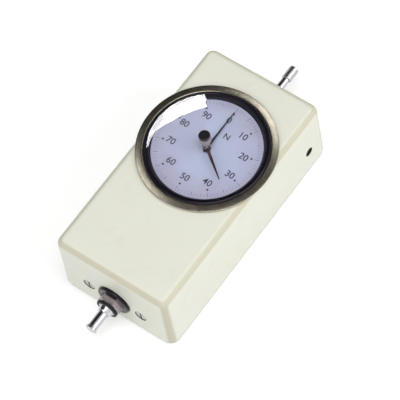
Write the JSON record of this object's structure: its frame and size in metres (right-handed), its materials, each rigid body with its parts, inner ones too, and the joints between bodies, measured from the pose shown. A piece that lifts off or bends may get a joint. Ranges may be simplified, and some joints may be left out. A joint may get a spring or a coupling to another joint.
{
  "type": "force gauge",
  "caption": "Mechanical push-pull force gauge with a round dial, a sprung measuring shaft, a geared hand, a set hand with reset knob and a turning bezel.",
  "frame": {"origin": "on the back face, in the middle of the four tapped stand holes", "axes": "+Y along the measuring shaft from the push end to the rear, +X to the right seen from the push end with the dial up, +Z out of the dial"},
  "size_m": [0.0812, 0.1992, 0.0638],
  "materials": {
    "body_paint": "smooth cream-white enamel",
    "cover_paint": "satin grey-white enamel",
    "plated_steel": "zinc plated sheet",
    "screw_steel": "dull nickel plated",
    "bush_nickel": "bright nickel plated",
    "nut_steel": "satin plated",
    "black_gloss": "glossy black",
    "black_rubber": "black wiper rubber",
    "black_knob": "satin black",
    "shaft_chrome": "ground and chrome plated",
    "ground_steel": "ground steel",
    "spring_steel": "oiled spring steel",
    "brass": "machined brass",
    "case_aluminium": "turned aluminium",
    "washer_nylon": "natural nylon",
    "bezel_anodised": "champagne grey anodised, brushed round",
    "dial_paint": "matt lavender white with black figures",
    "ring_grey": "satin dark grey",
    "crystal_clear": "clear domed",
    "hand_black": "matt black",
    "hand_maroon": "satin maroon"
  },
  "bodies": {
    "housing_body": {"housing": "body_paint", "back_cover": "cover_paint", "cover_screws": "screw_steel", "chassis": "plated_steel", "front_screws": "screw_steel", "rear_screws": "screw_steel", "front_bush": "bush_nickel", "rear_bush": "bush_nickel", "front_flange": "black_gloss", "front_nut": "nut_steel", "rear_nut": "nut_steel", "front_seal": "black_rubber", "adjusting_nut": "brass", "lock_screw": "screw_steel", "guide_rod": "ground_steel", "lower_plate": "brass", "upper_plate": "brass", "lower_pillars": "brass", "upper_pillars": "brass", "plate_screws": "screw_steel", "hairspring_stud": "brass", "dial_case": "case_aluminium", "case_screws": "screw_steel", "friction_washer": "washer_nylon", "front_spring": "spring_steel", "rear_spring": "spring_steel", "hairspring": "brass"},
    "measuring_shaft_body": {"measuring_shaft": "shaft_chrome", "push_tip": "shaft_chrome", "front_collar": "brass", "rear_collar": "brass", "collar_pins": "screw_steel", "rack": "brass", "rack_screws": "screw_steel"},
    "arbor_body": {"arbor": "ground_steel", "rack_pinion": "brass", "intermediate_wheel": "brass"},
    "hand_body": {"hand_spindle": "ground_steel", "hand_hub": "brass", "main_hand": "hand_black"},
    "bezel_body": {"bezel": "bezel_anodised", "crystal_ring": "black_gloss", "crystal": "crystal_clear", "inner_ring": "ring_grey", "dial_plate": "dial_paint"},
    "reset_body": {"reset_knob": "black_knob", "knob_spindle": "ground_steel", "knob_clip": "ground_steel", "set_hand": "hand_maroon"}
  },
  "joints": [
    {"name": "shaft_slide", "type": "slide", "parent": "housing_body", "child": "measuring_shaft_body", "axis": [0, 1, 0], "range_m": [-0.01, 0.01], "stiffness_N_per_m": 10000, "deforming": ["front_spring", "rear_spring"]},
    {"name": "arbor_spin", "type": "hinge", "parent": "housing_body", "child": "arbor_body", "pos_m": [-0.01237, 0.00991, 0.0225], "axis": [0, 0, 1], "range_deg": [-91, 91]},
    {"name": "hand_spin", "type": "hinge", "parent": "housing_body", "child": "hand_body", "pos_m": [0, 0.0184, 0.039], "axis": [0, 0, 1], "range_deg": [-361, 361], "deforming": ["hairspring"]},
    {"name": "bezel_turn", "type": "hinge", "parent": "housing_body", "child": "bezel_body", "pos_m": [0, 0.0184, 0.048], "axis": [0, 0, 1], "continuous": true},
    {"name": "reset_turn", "type": "hinge", "parent": "bezel_body", "child": "reset_body", "pos_m": [0, 0.0184, 0.054], "axis": [0, 0, 1], "continuous": true}
  ],
  "couplings": [
    {"joint": "arbor_spin", "follows": "shaft_slide", "rad_per_m": 157.08},
    {"joint": "hand_spin", "follows": "shaft_slide", "rad_per_m": -628.32}
  ]
}
